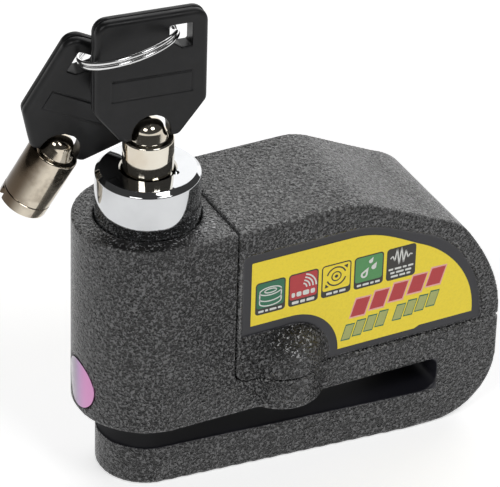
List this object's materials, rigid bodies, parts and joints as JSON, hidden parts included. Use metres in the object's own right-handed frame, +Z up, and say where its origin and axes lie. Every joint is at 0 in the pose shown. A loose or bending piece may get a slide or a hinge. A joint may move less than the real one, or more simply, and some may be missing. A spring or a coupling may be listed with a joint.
{
  "type": "motorcycle disc brake lock",
  "caption": "Alarm disc lock: cast body with a disc slot, push-down lock pin under a chrome cylinder, alarm under a cast cover, and tubular keys on a ring.",
  "frame": {"origin": "on the lock pin's axis, on the flat underside of the lower jaw", "axes": "+X from the lock cylinder towards the nose, +Z up along the lock pin, -Y is the front face"},
  "size_m": [0.0893, 0.0359, 0.0946],
  "materials": {
    "hammered_black": "fine hammered black paint",
    "label_yellow": "printed yellow film",
    "chrome_plate": "bright chrome plating",
    "nickel_plate": "bright nickel plating",
    "plug_lilac": "polished with a lilac tint",
    "key_plastic": "satin moulded black",
    "steel": "ground steel",
    "brass": "turned brass",
    "copper": "thin spring copper",
    "rubber_black": "matt black rubber",
    "case_grey": "moulded grey plastic",
    "board_green": "green lacquered board",
    "chip_black": "moulded black resin"
  },
  "bodies": {
    "housing": {"main_body": "hammered_black", "alarm_cover": "hammered_black", "cover_gasket": "rubber_black", "label_front": "label_yellow", "label_back": "label_yellow", "cover_screw_front": "steel", "cover_screw_back": "steel", "return_spring_front": "steel", "return_spring_back": "steel", "end_plug": "plug_lilac", "travel_stop": "steel", "bore_seal": "rubber_black", "arming_switch": "chip_black", "alarm_case": "case_grey", "case_lid": "case_grey", "circuit_board": "board_green", "control_chip": "chip_black", "shock_sensor": "steel", "siren_cup": "case_grey", "siren_disc": "brass", "button_cell_1": "steel", "button_cell_2": "steel", "button_cell_3": "steel", "button_cell_4": "steel", "button_cell_5": "steel", "button_cell_6": "steel", "contact_plate": "copper", "contact_spring": "copper"},
    "cylinder": {"lock_cylinder": "chrome_plate", "lock_pin": "steel", "tumbler_barrel": "brass", "driver_pin_1": "steel", "driver_pin_2": "steel", "driver_pin_3": "steel", "driver_pin_4": "steel", "driver_pin_5": "steel", "driver_pin_6": "steel", "driver_pin_7": "steel"},
    "plug": {"lock_plug": "brass", "drive_cam": "steel", "key_pin_1": "brass", "key_pin_2": "brass", "key_pin_3": "brass", "key_pin_4": "brass", "key_pin_5": "brass", "key_pin_6": "brass", "key_pin_7": "brass"},
    "latch": {"latch_bolt": "steel"},
    "switch": {"switch_plunger": "steel"},
    "key_1": {"key_1_head": "key_plastic", "key_1_shank": "nickel_plate"},
    "ring": {"key_ring": "steel"},
    "key_2": {"key_2_head": "key_plastic", "key_2_shank": "nickel_plate"}
  },
  "joints": [
    {"name": "cylinder_slide", "type": "slide", "parent": "housing", "child": "cylinder", "axis": [0, 0, 1], "range_m": [-0.0085, 0], "stiffness_N_per_m": 800, "springref_m": 0.004, "deforming": ["return_spring_front", "return_spring_back"]},
    {"name": "plug_turn", "type": "hinge", "parent": "cylinder", "child": "plug", "pos_m": [0, 0, 0.05], "axis": [0, 0, 1], "range_deg": [-60, 0]},
    {"name": "latch_slide", "type": "slide", "parent": "cylinder", "child": "latch", "axis": [-1, 0, 0], "range_m": [0, 0.00175]},
    {"name": "switch_press", "type": "slide", "parent": "housing", "child": "switch", "axis": [0, 0, 1], "range_m": [-0.0015, 0]},
    {"name": "key_pull", "type": "slide", "parent": "plug", "child": "key_1", "axis": [0, 0, 1], "range_m": [0, 0.012]},
    {"name": "ring_swing", "type": "hinge", "parent": "key_1", "child": "ring", "pos_m": [0.00486, -0.0006, 0.0901], "axis": [0.1219, 0.9925, 0], "range_deg": [0, 10]},
    {"name": "key_2_swing", "type": "hinge", "parent": "ring", "child": "key_2", "pos_m": [-0.00976, 0.00676, 0.08437], "axis": [0.231, 0.9578, 0.171], "range_deg": [0, 20]}
  ],
  "couplings": [
    {"joint": "latch_slide", "follows": "plug_turn", "m_per_rad": -0.001654},
    {"joint": "switch_press", "follows": "cylinder_slide", "ratio": 0.176},
    {"joint": "ring_swing", "follows": "cylinder_slide", "rad_per_m": -18.5}
  ]
}
